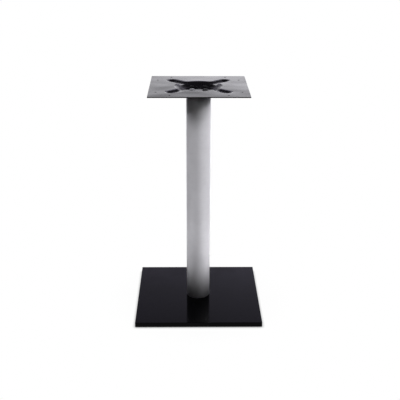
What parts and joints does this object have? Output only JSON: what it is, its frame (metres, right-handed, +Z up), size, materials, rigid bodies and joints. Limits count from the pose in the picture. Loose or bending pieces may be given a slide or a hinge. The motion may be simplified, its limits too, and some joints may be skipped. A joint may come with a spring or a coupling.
{
  "type": "bistro table base",
  "caption": "Free-standing bistro table base: flat square black base plate, round satin steel column and a square pressed top plate with screw holes for a table top.",
  "frame": {"origin": "on the floor under the column's axis, at the middle of the base plate", "axes": "+Z up along the column, +X to the right and front towards -Y, both square to the plates' edges"},
  "size_m": [0.4, 0.4, 0.725],
  "materials": {
    "base_paint": "gloss black paint",
    "plate_paint": "gloss black paint",
    "column_steel": "satin silver, fine grain round the tube",
    "disc_steel": "turned steel",
    "bolt_black": "blackened steel",
    "glide_nylon": "black nylon",
    "stud_steel": "zinc-plated steel"
  },
  "bodies": {
    "stand": {"base_plate": "base_paint", "top_plate": "plate_paint", "column_tube": "column_steel", "column_top_disc": "disc_steel", "column_bottom_disc": "disc_steel", "top_bolts": "bolt_black", "top_washers": "bolt_black", "top_spring_washers": "bolt_black", "base_bolts": "bolt_black", "base_washers": "bolt_black", "base_spring_washers": "bolt_black"},
    "front_left_pad": {"glide_front_left_pad": "glide_nylon"},
    "front_left_stud": {"glide_front_left_stud": "stud_steel"},
    "front_right_pad": {"glide_front_right_pad": "glide_nylon"},
    "front_right_stud": {"glide_front_right_stud": "stud_steel"},
    "rear_left_pad": {"glide_rear_left_pad": "glide_nylon"},
    "rear_left_stud": {"glide_rear_left_stud": "stud_steel"},
    "rear_right_pad": {"glide_rear_right_pad": "glide_nylon"},
    "rear_right_stud": {"glide_rear_right_stud": "stud_steel"}
  },
  "joints": [
    {"name": "front_left_height", "type": "slide", "parent": "stand", "child": "front_left_pad", "axis": [0, 0, -1], "range_m": [0, 0.005]},
    {"name": "front_left_turn", "type": "hinge", "parent": "front_left_pad", "child": "front_left_stud", "pos_m": [-0.165, -0.165, 0.008], "axis": [0, 0, -1], "range_deg": [0, 1440]},
    {"name": "front_right_height", "type": "slide", "parent": "stand", "child": "front_right_pad", "axis": [0, 0, -1], "range_m": [0, 0.005]},
    {"name": "front_right_turn", "type": "hinge", "parent": "front_right_pad", "child": "front_right_stud", "pos_m": [0.165, -0.165, 0.008], "axis": [0, 0, -1], "range_deg": [0, 1440]},
    {"name": "rear_left_height", "type": "slide", "parent": "stand", "child": "rear_left_pad", "axis": [0, 0, -1], "range_m": [0, 0.005]},
    {"name": "rear_left_turn", "type": "hinge", "parent": "rear_left_pad", "child": "rear_left_stud", "pos_m": [-0.165, 0.165, 0.008], "axis": [0, 0, -1], "range_deg": [0, 1440]},
    {"name": "rear_right_height", "type": "slide", "parent": "stand", "child": "rear_right_pad", "axis": [0, 0, -1], "range_m": [0, 0.005]},
    {"name": "rear_right_turn", "type": "hinge", "parent": "rear_right_pad", "child": "rear_right_stud", "pos_m": [0.165, 0.165, 0.008], "axis": [0, 0, -1], "range_deg": [0, 1440]}
  ],
  "couplings": [
    {"joint": "front_left_height", "follows": "front_left_turn", "m_per_rad": 0.00019894},
    {"joint": "front_right_height", "follows": "front_right_turn", "m_per_rad": 0.00019894},
    {"joint": "rear_left_height", "follows": "rear_left_turn", "m_per_rad": 0.00019894},
    {"joint": "rear_right_height", "follows": "rear_right_turn", "m_per_rad": 0.00019894}
  ]
}
